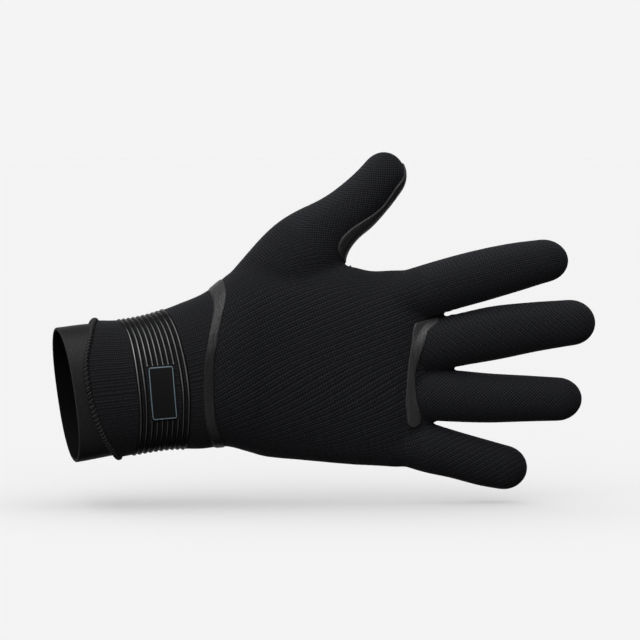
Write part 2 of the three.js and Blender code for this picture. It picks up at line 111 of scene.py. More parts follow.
# along: share of the digit; shift and width: shares of its width; palmward and depth: shares of its depth
DIGIT_COLUMNS = "along shift palmward width depth"
DIGITS = {
    "index": {
        "length": 85.7, "width": 26, "depth": 24, "root": (0.844, 0.47), "tilt": 12.9,
        "rows": table(
            DIGIT_COLUMNS,
            (0, 0.015, 0, 0.969, 0.9),
            (0.3, 0.08, 0.02, 0.963, 1),
            (0.5, 0.103, 0.06, 0.955, 0.97),
            (0.7, 0.112, 0.12, 0.895, 0.9),
            (0.87, 0.1, 0.2, 0.8, 0.8),
            (1, 0.07, 0.27, 0.77, 0.76),
        ),
    },
    "middle": {
        "length": 97.7, "width": 25.5, "depth": 24, "root": (0.844, 0.205), "tilt": 8.9,
        "rows": table(
            DIGIT_COLUMNS,
            (0, 0.02, 0, 0.97, 0.9),
            (0.3, 0.06, 0.02, 0.975, 1),
            (0.5, 0.087, 0.06, 1.01, 0.97),
            (0.7, 0.082, 0.12, 0.935, 0.9),
            (0.87, 0.05, 0.2, 0.87, 0.82),
            (1, 0.025, 0.27, 0.84, 0.78),
        ),
    },
    "ring": {
        "length": 90.3, "width": 25, "depth": 23, "root": (0.844, 0), "tilt": -1.7,
        "rows": table(
            DIGIT_COLUMNS,
            (0, 0.02, 0, 0.98, 0.9),
            (0.3, -0.01, 0.02, 0.995, 1),
            (0.5, -0.034, 0.06, 0.95, 0.97),
            (0.7, -0.028, 0.12, 0.89, 0.9),
            (0.87, -0.028, 0.2, 0.84, 0.82),
            (1, -0.026, 0.27, 0.81, 0.78),
        ),
    },
    "little": {
        "length": 71, "width": 23.5, "depth": 21, "root": (0.797, -0.212), "tilt": -13.8,
        "rows": table(
            DIGIT_COLUMNS,
            (0, 0.03, 0, 1.02, 0.95),
            (0.3, -0.04, 0.03, 1.01, 1),
            (0.5, -0.055, 0.08, 0.96, 0.97),
            (0.7, -0.078, 0.15, 0.95, 0.92),
            (0.85, -0.078, 0.23, 0.91, 0.87),
            (1, -0.075, 0.3, 0.9, 0.83),
        ),
    },
    "thumb": {
        "length": 83.4, "width": 26.5, "depth": 25, "root": (0.325, 0.525), "tilt": 49.4,
        "rows": table(
            DIGIT_COLUMNS,
            (-0.25, 0.5, 0.1, 0.9, 0.7),
            (-0.1, 0.33, 0.14, 1.25, 1),
            (0.1, 0.2, 0.18, 1.5, 1.25),
            (0.2, 0.2, 0.2, 1.46, 1.2),
            (0.3, 0.165, 0.22, 1.41, 1.1),
            (0.4, 0.176, 0.24, 1.164, 1.02),
            (0.5, 0.115, 0.26, 1, 0.98),
            (0.6, 0.036, 0.28, 0.945, 0.95),
            (0.75, -0.012, 0.32, 0.865, 0.9),
            (0.87, -0.01, 0.36, 0.82, 0.82),
            (1, 0.02, 0.4, 0.83, 0.76),
        ),
    },
}
# angle: degrees from the thumb side over the back of the hand; the rest are shares of the cuff's length
CUFF_LINES = table(
    "angle sleeve_edge first_ring last_ring wrist_seam",
    (0, 0.285, 0.418, 0.697, 1.05),
    (40, 0.228, 0.465, 0.76, 1.06),
    (68, 0.168, 0.475, 0.79, 1),
    (92, 0.163, 0.47, 0.798, 0.94),
    (120, 0.207, 0.447, 0.768, 0.917),
    (150, 0.27, 0.413, 0.73, 0.94),
    (180, 0.31, 0.38, 0.703, 0.96),
)
# The line of the finger tape from the index web to the little web, seen from the back, and half the tape's
# width, all in mm
FINGER_SEAM = table(
    "step x z half",
    (0, 175.1, 37.3, 4),
    (1, 172.3, 34.8, 3.9),
    (2, 170.1, 31.7, 3.6),
    (3, 169.1, 27.3, 3.25),
    (4, 168.2, 23.2, 2.8),
    (5, 167.2, 19.5, 2.5),
    (6, 165.7, 12.5, 1.95),
    (7, 165.4, 7.4, 1.95),
    (8, 165.4, 0.6, 2.45),
    (9, 165.7, -4.2, 2.9),
    (10, 166.4, -7.5, 3.15),
    (11, 166.8, -10.6, 3.25),
    (12, 166.8, -12.2, 3.1),
)
# along: share of the thumb; first and last: degrees round it from its outer edge over the back
THUMB_TAPE = table(
    "along first last",
    (0.335, 184, 190),
    (0.347, 166, 199),
    (0.358, 146, 205),
    (0.38, 132, 210),
    (0.43, 125, 214),
    (0.55, 124, 216),
    (0.61, 128, 216),
    (0.67, 135, 216),
    (0.735, 140, 215),
    (0.81, 138, 214),
    (0.885, 138, 212),
    (0.96, 159, 208),
    (0.99, 180, 204),
)


# Shapes worked out on whole arrays


def read(rows, key, column, at):
    """A cubic through a table's rows, whose slope at a row is that of the line between the rows beside
    it."""
    x, y = rows[key], rows[column]
    places = np.arange(len(x))
    after, before = np.minimum(places + 1, len(x) - 1), np.maximum(places - 1, 0)
    slope = (y[after] - y[before]) / (x[after] - x[before])
    i = np.clip(np.searchsorted(x, at, side="right") - 1, 0, len(x) - 2)
    step = x[i + 1] - x[i]
    t = np.clip((at - x[i]) / step, 0, 1)
    p, q, m, n = y[i], y[i + 1], slope[i] * step, slope[i + 1] * step
    return p + t * (m + t * (3 * (q - p) - 2 * m - n + t * (2 * (p - q) + m + n)))


def trunk_rows(rows, start, length, width, depth, set_back):
    """The rows of the cuff or palm in mm."""
    return {
        "station": start + rows["along"] * length,
        "z": rows["rise"] * width,
        "y": set_back + rows["palmward"] * depth,
        "half_width": rows["width"] * width / 2,
        "half_depth": rows["depth"] * depth / 2,
        "lean": rows["lean"],
    }


CUFF_TRUNK = trunk_rows(CUFF_ROWS, 0, CUFF_LENGTH, CUFF_WIDTH, CUFF_DEPTH, 0)
PALM_TRUNK = trunk_rows(PALM_ROWS, CUFF_LENGTH, PALM_LENGTH, PALM_WIDTH, PALM_DEPTH, PALM_SET)
TRUNK = {column: np.concatenate([CUFF_TRUNK[column], PALM_TRUNK[column]]) for column in CUFF_TRUNK}


def unit(vectors):
    """Vectors over their own lengths."""
    return vectors / np.maximum(np.linalg.norm(vectors, axis=-1, keepdims=True), 1e-9)


def smooth_step(value):
    """0 up to 0, 1 from 1 on, and three squares less two cubes between."""
    t = np.clip(value, 0, 1)
    return t * t * (3 - 2 * t)


def across(ahead):
    """The directions to the thumb side and to the back of the hand in a section square to a direction."""
    up = unit(np.stack([-ahead[..., 2], 0 * ahead[..., 0], ahead[..., 0]], -1))
    return up, unit(np.cross(ahead, up))


def rounded_oval(angle, squareness):
    """Cosine and sine of an angle, each raised to 2 over the squareness with its sign kept."""
    turned = np.radians(angle)
    return [np.sign(v) * np.abs(v) ** (2 / squareness) for v in (np.cos(turned), np.sin(turned))]


def trunk_section(station):
    """Middle, direction ahead, half width and half depth of the cuff and palm at each station."""
    at = {column: read(TRUNK, "station", column, station) for column in TRUNK if column != "station"}
    drift = (read(TRUNK, "station", "y", station + 1) - read(TRUNK, "station", "y", station - 1)) / 2
    lean = np.radians(at["lean"])
    middle = np.stack([station, at["y"], at["z"]], -1)
    ahead = unit(np.stack([np.cos(lean), drift, np.sin(lean)], -1))
    return middle, ahead, at["half_width"], at["half_depth"]


def on_trunk(station, angle, offset=0.0):
    """The cuff and palm: a rounded oval about the middle of each leaning section, grown by an offset."""
    station, angle, offset = np.broadcast_arrays(np.asarray(station, float), angle, offset)
    middle, ahead, half_width, half_depth = trunk_section(station)
    up, front = across(ahead)
    cosine, sine = rounded_oval(angle, TRUNK_SQUARENESS)
    sideways, forwards = cosine * (half_width + offset), sine * (half_depth + offset)
    return middle + up * sideways[..., None] + front * forwards[..., None]


def digit_frame(digit):
    """Root, direction ahead and direction to the thumb side of a digit."""
    tilt = math.radians(digit["tilt"])
    cosine, sine = math.cos(tilt), math.sin(tilt)
    along_palm, over = digit["root"]
    root = np.array([CUFF_LENGTH + along_palm * PALM_LENGTH, PALM_SET, over * PALM_WIDTH])
    return root, np.array([cosine, 0, sine]), np.array([-sine, 0, cosine])


def digit_section(digit, along):
    """Middle, half width, half depth and share of the way into the domed end at each share of a digit."""
    root, ahead, side = digit_frame(digit)
    rows = digit["rows"]
    at = {column: read(rows, "along", column, along) for column in rows if column != "along"}
    middle = (
        root
        + ahead * (along * digit["length"])[..., None]
        + side * (at["shift"] * digit["width"])[..., None]
        + np.array([0, 1, 0]) * (at["palmward"] * digit["depth"])[..., None]
    )
    into_dome = (along * digit["length"] - (digit["length"] - TIP_ROUND)) / TIP_ROUND
    return middle, at["width"] * digit["width"] / 2, at["depth"] * digit["depth"] / 2, into_dome


def on_digit(digit, along, angle):
    """A digit: a rounded oval about the middle of each section, closing in a quarter-ellipse dome."""
    along, angle = np.broadcast_arrays(np.asarray(along, float), angle)
    middle, half_width, half_depth, into_dome = digit_section(digit, along)
    closing = np.sqrt(1 - np.clip(into_dome, 0, 1) ** 2)
    up = digit_frame(digit)[2]
    front = np.array([0, -1, 0])
    cosine, sine = rounded_oval(angle, DIGIT_SQUARENESS)
    sideways, forwards = cosine * half_width * closing, sine * half_depth * closing
    return middle + up * sideways[..., None] + front * forwards[..., None]


def place_in_oval(sideways, forwards, half_width, half_depth, squareness):
    """How far outside a rounded oval a point lies, measured from its middle, and the point's angle."""
    a, b = sideways / half_width, forwards / half_depth
    size = (np.abs(a) ** squareness + np.abs(b) ** squareness) ** (1 / squareness)
    power = squareness / 2
    angle = np.degrees(np.arctan2(np.sign(b) * np.abs(b) ** power, np.sign(a) * np.abs(a) ** power))
    return size, angle


def place_in_trunk(points):
    """Station, angle and distance outside the cuff and palm of points: Newton's rule moves the station
    until the point lies in its section."""
    station = points[:, 0].copy()
    for _ in range(5):
        middle, ahead, half_width, half_depth = trunk_section(station)
        station = station + ((points - middle) * ahead).sum(-1) / ahead[:, 0]
    middle, ahead, half_width, half_depth = trunk_section(station)
    up, front = across(ahead)
    sideways, forwards = ((points - middle) * up).sum(-1), ((points - middle) * front).sum(-1)
    size, angle = place_in_oval(sideways, forwards, half_width, half_depth, TRUNK_SQUARENESS)
    outside = np.hypot(sideways, forwards) * (1 - 1 / np.maximum(size, 0.05))
    return station, angle, np.maximum(outside, station - WEB_STATION)


def place_in_digit(digit, points):
    """Share along, angle and distance outside a digit of points."""
    root, ahead, side = digit_frame(digit)
    along = ((points - root) @ ahead) / digit["length"]
    middle, half_width, half_depth, into_dome = digit_section(digit, along)
    sideways, forwards = (points - middle) @ side, middle[:, 1] - points[:, 1]
    size, angle = place_in_oval(sideways, forwards, half_width, half_depth, DIGIT_SQUARENESS)
    size = np.hypot(size, np.clip(into_dome, 0, None))
    behind = np.clip(digit["rows"]["along"][0] - along, 0, None) * digit["length"]
    return along, angle, (size - 1) * np.minimum(half_width, half_depth) + behind


def cuff_line(column, angle):
    """The station of a line round the cuff; the palm side mirrors the back."""
    turned = np.mod(angle, 360)
    return CUFF_LENGTH * read(CUFF_LINES, "angle", column, np.minimum(turned, 360 - turned))


def rim(angle):
    """The station of the opening's edge, which slants by the sine of the angle."""
    return RIM_SLANT / 2 * np.sin(np.radians(angle))


def around_oval(width, depth, squareness):
    """The distance round a rounded oval from the middle of its back, as a share of the half width: a
    table of angles and of distances that grow towards the thumb side."""
    angle = np.linspace(-180, 360, 541)
    cosine, sine = rounded_oval(angle, squareness)
    steps = np.hypot(np.diff(cosine * width), np.diff(sine * depth))
    run = np.concatenate([[0], np.cumsum(steps)])
    return angle, (np.interp(90, angle, run) - run) / width


def side_place(angle, half_width, oval):
    """Signed distance round the section from the middle of the back for the corners of faces. It is cut
    along the middle of the palm side, and each face stays on its first corner's side of the cut."""
    first = np.mod(angle[:, :1] + 90, 360) - 90
    turned = first + np.mod(angle - first + 180, 360) - 180
    return np.interp(turned, *oval) * half_width


# Meshes


def grid_faces(rows, columns, close_rows, close_columns):
    """Quads between neighbouring points of a grid, joined round where a direction is closed."""
    i = np.arange(rows if close_rows else rows - 1)[:, None]
    j = np.arange(columns if close_columns else columns - 1)[None, :]
    here, ahead, right = i * columns, (i + 1) % rows * columns, (j + 1) % columns
    return np.stack([here + j, ahead + j, ahead + right, here + right], -1).reshape(-1, 4)


def enclosed(points, faces):
    """Six times the volume inside a mesh, negative where its faces point inwards."""
    a, b, c, d = (points[faces[:, k]] for k in range(4))
    return (a * np.cross(b, c)).sum() + (a * np.cross(c, d)).sum()


def make_mesh(name, points, faces, layers=None):
    """An object at the origin from points in mm and quads; layers gives each corner's place on a cloth
    in mm."""
    mesh = bpy.data.meshes.new(name)
    mesh.vertices.add(len(points))
    mesh.vertices.foreach_set("co", (points * MM).astype(np.float32).ravel())
    mesh.loops.add(faces.size)
    mesh.loops.foreach_set("vertex_index", faces.astype(np.int32).ravel())
    mesh.polygons.add(len(faces))
    mesh.polygons.foreach_set("loop_start", np.arange(0, faces.size, 4, dtype=np.int32))
    mesh.update(calc_edges=True)
    for layer, places in (layers or {}).items():
        mesh.uv_layers.new(name=layer).data.foreach_set("uv", places.astype(np.float32).ravel())
    mesh.polygons.foreach_set("use_smooth", np.ones(len(faces), bool))
    piece = bpy.data.objects.new(name, mesh)
    bpy.context.scene.collection.objects.link(piece)
    return piece


def cut_out(name, points, faces, layers=None):
    """An object of some faces and of the points that they use, and which points those are."""
    used, inverse = np.unique(faces, return_inverse=True)
    return make_mesh(name, points[used], inverse.reshape(faces.shape), layers), used


def finish_faces(piece, places):
    """Gives each face the finish at its place in the piece's list of materials."""
    piece.data.polygons.foreach_set("material_index", places.astype(np.int32))


def add_wall(piece, thickness):
    """A wall of even thickness under a piece's faces."""
    wall = piece.modifiers.new("wall", "SOLIDIFY")
    wall.thickness = thickness * MM
    wall.offset = -1


def grid_piece(name, points, close_rows=False, close_columns=False, cloth=None):
    """A piece from a grid of points, turned so that its faces point outwards; cloth gives each point's
    place on the knit, with one more column where the grid is closed."""
    rows, columns = points.shape[:2]
    faces = grid_faces(rows, columns, close_rows, close_columns)
    flat = points.reshape(-1, 3)
    if enclosed(flat, faces) < 0:
        faces = faces[:, ::-1]
    if cloth is None:
        return make_mesh(name, flat, faces)
    i, j = np.divmod(faces, columns)
    wrapped = (j == 0) & (j.max(axis=1, keepdims=True) == columns - 1)
    return make_mesh(name, flat, faces, {"weave": cloth[i, np.where(wrapped, columns, j)]})


def arrays_of(piece):
    """Points in mm and quads of an object with its modifiers applied."""
    shown = piece.evaluated_get(bpy.context.evaluated_depsgraph_get())
    mesh = shown.to_mesh()
    points = np.empty(len(mesh.vertices) * 3, np.float32)
    mesh.vertices.foreach_get("co", points)
    corners = np.empty(len(mesh.loops), np.int32)
    mesh.loops.foreach_get("vertex_index", corners)
    shown.to_mesh_clear()
    return points.reshape(-1, 3).astype(float) / MM, corners.reshape(-1, 4)


def vertex_normals(points, faces):
    """The sum of the diagonals' cross products of the quads round each point, made one long."""
    a, b, c, d = (points[faces[:, k]] for k in range(4))
    across_face = np.cross(c - a, d - b)
    total = np.stack(
        [np.bincount(faces.ravel(), np.repeat(across_face[:, k], 4), len(points)) for k in range(3)], -1
    )
    return unit(total)


def soften(points, faces, rounds, share=1.0, hollows_only=False):
    """Moves each point up to halfway to the middle of its neighbours, round after round, by a share for
    each point. With hollows_only it moves only outwards, so that a crease fills and a ridge stays."""
    ends = np.concatenate([faces, np.roll(faces, 1, axis=1)]).ravel()
    other = np.concatenate([np.roll(faces, 1, axis=1), faces]).ravel()
    count = np.bincount(ends, minlength=len(points))[:, None]
    for _ in range(rounds):
        middle = np.stack([np.bincount(ends, points[other, k], len(points)) for k in range(3)], -1) / count
        move = (middle - points) / 2
        if hollows_only:
            normal = vertex_normals(points, faces)
            move = normal * np.clip((move * normal).sum(-1), 0, None)[:, None]
        points = points + move * np.reshape(share, (-1, 1))
    return points


# Hand

BODY_VOXEL = 1.01  # mm; a finer grid takes the hand past 200,000 triangles
BEHIND_WRIST = 14  # mm behind the wrist seam where the palm's form starts
WEB_ROUNDS = 10
HOLLOW_ROUNDS = 14
CREASE_DEPTH = 12  # mm behind the webs where the cloth between the fingers starts to draw in
CREASE_FADE = 16  # mm over which the softening ends there
THUMB_WEB_HEIGHT = 52  # mm; the web of the thumb lies above it
THUMB_WEB_FADE = 6
FIRM_THUMB = 0.85  # the share of the softening that the thumb's outer half is spared


def loft(name, rings):
    """A closed skin through rings of points, its ends brought together at their middles."""
    ends = [np.repeat(rings[k].mean(axis=0)[None], rings.shape[1], axis=0)[None] for k in (0, -1)]
    return grid_piece(name, np.concatenate([ends[0], rings, ends[1]]), close_columns=True)


def digit_loft(name, digit):
    """The skin of a digit: even sections up to the dome, then sections a sine's steps apart."""
    start, dome = digit["rows"]["along"][0], 1 - TIP_ROUND / digit["length"]
    straight = np.linspace(start, dome, 40)
    round_end = dome + (1 - dome) * np.sin(np.linspace(0, np.pi / 2, 12)[1:])
    along = np.concatenate([straight, np.minimum(round_end, 0.9995)])
    angle = np.linspace(0, 360, 64, endpoint=False)
    return loft(name, on_digit(digit, along[:, None], angle[None, :]))


def hand_body():
    """The outside of the hand: the palm and digits joined on a fine grid of cubes, softened, then
    filled where they meet, as neoprene bridges a web."""
    angle = np.linspace(0, 360, 160, endpoint=False)[None, :]
    share = np.linspace(0, 1, 90)[:, None]
    start = cuff_line("wrist_seam", angle) - BEHIND_WRIST
    palm = loft("palm_form", on_trunk(start + (WEB_STATION - start) * share, angle))
    forms = [palm] + [digit_loft(name + "_form", digit) for name, digit in DIGITS.items()]
    chosen = {"active_object": palm, "selected_objects": forms, "selected_editable_objects": forms}
    with bpy.context.temp_override(**chosen):
        bpy.ops.object.join()
    cubes = palm.modifiers.new("cubes", "REMESH")
    cubes.mode = "VOXEL"
    cubes.voxel_size = BODY_VOXEL * MM
    cubes.adaptivity = 0
    points, faces = arrays_of(palm)
    bpy.data.objects.remove(palm)
    before_webs = smooth_step((WEB_STATION - CREASE_DEPTH + CREASE_FADE / 2 - points[:, 0]) / CREASE_FADE)
    thumb_web = smooth_step((points[:, 2] - THUMB_WEB_HEIGHT) / THUMB_WEB_FADE)
    thumb_web *= points[:, 0] < WEB_STATION
    along_thumb = place_in_digit(DIGITS["thumb"], points)[0]
    loose = np.maximum(before_webs, thumb_web) * (1 - FIRM_THUMB * smooth_step((along_thumb - 0.5) / 0.2))
    points = soften(points, faces, WEB_ROUNDS, loose)
    points = soften(points, faces, HOLLOW_ROUNDS, loose, hollows_only=True)
    return soften(points, faces, 1), faces


body_points, body_faces = hand_body()
body_digits = {name: place_in_digit(digit, body_points) for name, digit in DIGITS.items()}

PALM_KNIT_ANGLE = 20  # degrees above +X that the rows of the palm's knit rise, seen from the back
FAN_ANGLE = 20  # degrees more at the wrist, on the upper half of the palm
FAN = 22.0  # mm from the wrist over which these steeper rows flatten out
FAN_BOTTOM = (-12, 18)  # heights on the palm between which they set in
FAN_TOP = (55, 95)  # and between which they end, round the thumb side
LEAST_HALF_DEPTH = 11  # mm; the palm is rolled out as if nowhere thinner than twice this
FLAT_BACK = 20  # mm each side of the palm's middle where a face's place is simply its height


def turn_flat(places, degrees):
    """Turns places on a plane about its origin."""
    cosine, sine = math.cos(math.radians(degrees)), math.sin(math.radians(degrees))
    return places @ np.array([[cosine, sine], [-sine, cosine]])


def palm_cloth(faces):
    """Each corner's place on the palm's knit in mm, turned so that the rows run along the first axis.
    The palm is rolled out flat like a box: straight across the back, round each edge by the depth, and
    back over the palm side. Near the wrist it is sheared, so that the rows fan out of it."""
    x, y, z = (body_points[faces, k] for k in range(3))
    at = {column: read(TRUNK, "station", column, x) for column in ("z", "y", "half_width", "half_depth")}
    depth = np.maximum(at["half_depth"], LEAST_HALF_DEPTH)
    over = z - at["z"]
    near_edge = smooth_step((np.abs(over) / at["half_width"] - 0.7) / 0.3)
    round_edge = np.abs(over) + near_edge * (depth - np.abs(y - at["y"]))
    girth = 2 * (at["half_width"] + depth)
    palmward = (y > at["y"]).mean(axis=1, keepdims=True) > 0.5
    thumb_side = np.sign(over.mean(axis=1, keepdims=True))
    side = at["z"] + thumb_side * np.where(palmward, girth - round_edge, round_edge)
    side = np.where(palmward | (np.abs(over) > FLAT_BACK), side, z)
    set_in = smooth_step((side - FAN_BOTTOM[0]) / (FAN_BOTTOM[1] - FAN_BOTTOM[0]))
    end = smooth_step((FAN_TOP[1] - side) / (FAN_TOP[1] - FAN_TOP[0]))
    steeper = math.tan(math.radians(FAN_ANGLE)) * (set_in * end)
    from_wrist = np.clip(x - CUFF_LENGTH, 0, None)
    side = side - steeper * FAN * (1 - np.exp(-from_wrist / FAN))
    return turn_flat(np.stack([x, side], -1), -PALM_KNIT_ANGLE)


def digit_cloth(name, faces):
    """Each corner's place on a digit's knit in mm: along the digit, and round it from the middle of the
    back."""
    digit = DIGITS[name]
    along, angle, _ = (values[faces] for values in body_digits[name])
    _, half_width, _, into_dome = digit_section(digit, along)
    closing = np.sqrt(1 - np.clip(into_dome, 0, 0.98) ** 2)
    oval = around_oval(digit["width"] / 2, digit["depth"] / 2, DIGIT_SQUARENESS)
    side = side_place(angle, half_width * (0.35 + 0.65 * closing), oval)
    return np.stack([along * digit["length"], side], -1)


THUMB_ROOT = 26  # mm along the thumb where its knit has taken over half from the palm's
FINGER_ROOT = 2  # mm behind the webs where a finger's knit has
ROOT_FADE = 9


def digit_share(name):
    """How much of each body point belongs to a digit, from 0 on the palm to 1 on the digit."""
    along, _, outside = body_digits[name]
    past = body_points[:, 0] - WEB_STATION + FINGER_ROOT
    if name == "thumb":
        past = along * DIGITS[name]["length"] - THUMB_ROOT
    return smooth_step(past / ROOT_FADE + 0.5) * smooth_step((5 - outside) / 4)


def between_digits(upper, lower, x):
    """The height at any X of the line that runs between two neighbouring fingers: through the points
    halfway between their facing edges at a quarter and at six tenths of their lengths."""
    facing = ((on_digit(DIGITS[upper], a, 180.0), on_digit(DIGITS[lower], a, 0.0)) for a in (0.25, 0.6))
    (x0, _, z0), (x1, _, z1) = ((above + below) / 2 for above, below in facing)
    return z0 + (z1 - z0) * (x - x0) / (x1 - x0)


SEAM_REACH = 16  # mm each side of the seam's middle station where the distance to it is worked out
FAR_OFF = 99.0
USUAL_HALF_TAPE = 2.0


def finger_seam_place(points):
    """How far points lie past the seam across the roots of the middle and ring fingers, and the tape's
    half width there: the distance to the nearest of many points of the seam's line, seen from the back."""
    step = np.linspace(0, FINGER_SEAM["step"][-1], 240)
    line = np.stack([read(FINGER_SEAM, "step", column, step) for column in ("x", "z")], -1)
    beyond = points[:, 0] - line[:, 0].mean()
    past = np.sign(beyond) * FAR_OFF
    half = np.full(len(points), USUAL_HALF_TAPE)
    near = np.flatnonzero(np.abs(beyond) < SEAM_REACH)
    gap = points[near][:, None, [0, 2]] - line[None]
    nearest = (gap**2).sum(-1).argmin(axis=1)
    run = np.gradient(line, axis=0)[nearest]
    gap = gap[np.arange(len(near)), nearest]
    past[near] = np.sign(run[:, 0] * gap[:, 1] - run[:, 1] * gap[:, 0]) * np.linalg.norm(gap, axis=1)
    half[near] = read(FINGER_SEAM, "step", "half", step[nearest])
    return past, half


def piece_of_body(name, keep, layers, share=None):
    """The kept faces of the body as a piece with a wall under them. share is each body point's share of
    palm."""
    faces = body_faces[keep]
    places = {layer: cloth(faces) for layer, cloth in layers.items()}
    piece, used = cut_out(name, body_points, faces, places)
    if share is not None:
        palm = piece.data.attributes.new("palm_share", "FLOAT", "POINT")
        palm.data.foreach_set("value", share[used].astype(np.float32))
    add_wall(piece, NEOPRENE)
    return piece


centres = body_points[body_faces].mean(axis=1)
centre_station, centre_angle, _ = place_in_trunk(centres)
past_seam, _ = finger_seam_place(centres)
beyond_wrist = centre_station > cuff_line("wrist_seam", centre_angle)
below_index = centres[:, 2] < between_digits("index", "middle", centres[:, 0])
above_little = centres[:, 2] > between_digits("ring", "little", centres[:, 0])
near_webs = centres[:, 0] > WEB_STATION - CREASE_DEPTH
sewn_on = (past_seam > 0) & below_index & above_little & near_webs
upper_finger = centres[:, 2] > between_digits("middle", "ring", centres[:, 0])

HAND_DIGITS = ["index", "thumb", "little"]
shares = np.stack([digit_share(name) for name in HAND_DIGITS])


def nearest_digit(faces):
    """The place in HAND_DIGITS of the digit that each face of the hand belongs to most."""
    return shares[:, faces].mean(axis=-1).argmax(axis=0)


def hand_digit_cloth(faces):
    """Places on the knit of each face's nearest digit."""
    places = np.stack([digit_cloth(name, faces) for name in HAND_DIGITS])
    return places[nearest_digit(faces), np.arange(len(faces))]


def hand_piece():
    """The palm, back, index finger, little finger and thumb. Each digit has a knit of its own, which fades
    into the palm's."""
    in_hand = beyond_wrist & ~sewn_on
    layers = {"weave": hand_digit_cloth, "palm_weave": palm_cloth}
    piece = piece_of_body("knit_hand", in_hand, layers, 1 - shares.max(axis=0))
    finish_faces(piece, nearest_digit(body_faces[in_hand]))
    return piece


def sewn_finger(name, keep):
    """One of the two fingers beyond the seam, with its own knit."""
    return piece_of_body(f"knit_{name}_finger", keep, {"weave": lambda faces: digit_cloth(name, faces)})


hand = hand_piece()
middle_finger = sewn_finger("middle", sewn_on & upper_finger)
ring_finger = sewn_finger("ring", sewn_on & ~upper_finger)


# Seam tapes

SUNK = 0.45  # a tape's margins dive this far under the surface, so that its edge is a clean line
SHOULDER = 0.5
MARGIN = 2.2  # mm outside a strip's edge up to which the body's faces are divided
CROWN = 0.12
CROWN_SLOPE = 1.2  # mm in from the edge over which the crown rises
STRIP_WALL = 0.35
CREASE_GAP = 0.3  # the finger tape ends this far under the line between index and middle finger
THUMB_TAPE_REACH = 3.4  # mm off the thumb's own form where the thumb tape ends
SLOPE_STEP = 0.004  # share of the thumb over which the slope of the tape's edge is measured


def raised_strip(name, inside, height):
    """A strip lying on the body: the faces near it are divided finely and moved out along their
    normals, from under the surface outside the strip's edge to its height inside, with a low crown.
    inside gives each point's distance in mm inside the strip's edge."""
    near = (inside(body_points)[body_faces] > -MARGIN).any(axis=1)
    draft, _ = cut_out(name + "_draft", body_points, body_faces[near])
    finer = draft.modifiers.new("finer", "SUBSURF")
    finer.levels = finer.render_levels = 2
    points, faces = arrays_of(draft)
    bpy.data.objects.remove(draft)
    depth = inside(points)
    keep = (depth[faces] > -2 * SHOULDER).any(axis=1)
    rise = smooth_step((depth + SHOULDER / 2) / SHOULDER)
    crown = CROWN * (1 - np.exp(-np.clip(depth, 0, None) / CROWN_SLOPE))
    lift = -SUNK + (height + SUNK) * rise + crown
    points = points + vertex_normals(points, faces) * lift[:, None]
    piece, _ = cut_out(name, points, faces[keep])
    add_wall(piece, STRIP_WALL)
    return piece


def inside_finger_tape(points):
    """Distance in from the tape's edge, and no further up than the crease under the index finger."""
    past, half = finger_seam_place(points)
    below_crease = between_digits("index", "middle", points[:, 0]) - CREASE_GAP - points[:, 2]
    return np.minimum(half - np.abs(past), below_crease)


def inside_thumb_tape(points):
    """Distance in from the nearest edge or end of the thumb's tape, on the thumb's own surface: the
    turn to each edge in mm, over the length of the edge's slope."""
    digit = DIGITS["thumb"]
    along, angle, outside = place_in_digit(digit, points)
    _, half_width, half_depth, _ = digit_section(digit, along)
    turned = np.mod(angle, 360)
    round_mm = math.pi * (half_width + half_depth) / 360
    inside = np.minimum(along - THUMB_TAPE["along"][0], THUMB_TAPE["along"][-1] - along) * digit["length"]
    for edge, side in (("first", 1), ("last", -1)):
        here, ahead = (read(THUMB_TAPE, "along", edge, along + step) for step in (0, SLOPE_STEP))
        slope = (ahead - here) / SLOPE_STEP * round_mm / digit["length"]
        inside = np.minimum(inside, side * (turned - here) * round_mm / np.hypot(1, slope))
    return np.minimum(inside, THUMB_TAPE_REACH - np.abs(outside))


finger_tape = raised_strip("satin_finger_tape", inside_finger_tape, TAPE_HEIGHT)
thumb_tape = raised_strip("satin_thumb_tape", inside_thumb_tape, THUMB_TAPE_HEIGHT)


def band_piece(name, angle, profile, cloth=None):
    """A closed ring round the cuff: profile gives the station and offset of each point of a closed
    outline, as two lists of arrays over the angle."""
    stations, offsets = (np.stack([np.broadcast_to(v, angle.shape) for v in values]) for values in profile)
    points = on_trunk(stations, angle[None, :], offsets)
    return grid_piece(name, points, close_rows=True, close_columns=True, cloth=cloth)


ROUND = np.linspace(0, 360, 256, endpoint=False)


def wrist_tape_piece():
    """A crowned strip round the wrist seam. Its height over its width is a flattened half oval, and its
    margins run under the cloth."""
    fine = np.linspace(0, 360, 512, endpoint=False)
    across_tape = np.linspace(-1, 1, 25)
    centre = cuff_line("wrist_seam", fine)
    waver = 0.25 * np.sin(np.radians(fine * 3 + 40))
    half = TAPE_WIDTH / 2 + waver
    top = -SUNK + (TAPE_HEIGHT + SUNK) * np.clip(1 - np.abs(across_tape) ** 5, 0, None) ** 0.5
    under = [-SUNK - 0.4] * 2
    stations = [centre + half * v for v in across_tape] + [centre + half * 0.8, centre - half * 0.8]
    return band_piece("satin_wrist_tape", fine, (stations, list(top) + under))


wrist_tape = wrist_tape_piece()


# Cuff


def wall_profile(first, last, outer, inner, steps, lip=0):
    """The closed outline of a wall between two lines: along the outside from the last to the first, round a
    half-circle lip there where lip is over 0, and back along the inside."""
    share = np.linspace(0, 1, steps)
    stations = [last + (first - last) * t for t in share]
    offsets = [outer] * steps
    turn = np.linspace(0, np.pi, lip + 2)[1:-1]
    radius, middle = (outer - inner) / 2, (outer + inner) / 2
    stations += [first - radius * math.sin(t) for t in turn]
    offsets += [middle + radius * math.cos(t) for t in turn]
    stations += [first + (last - first) * t for t in share]
    offsets += [inner] * steps
    return stations, offsets


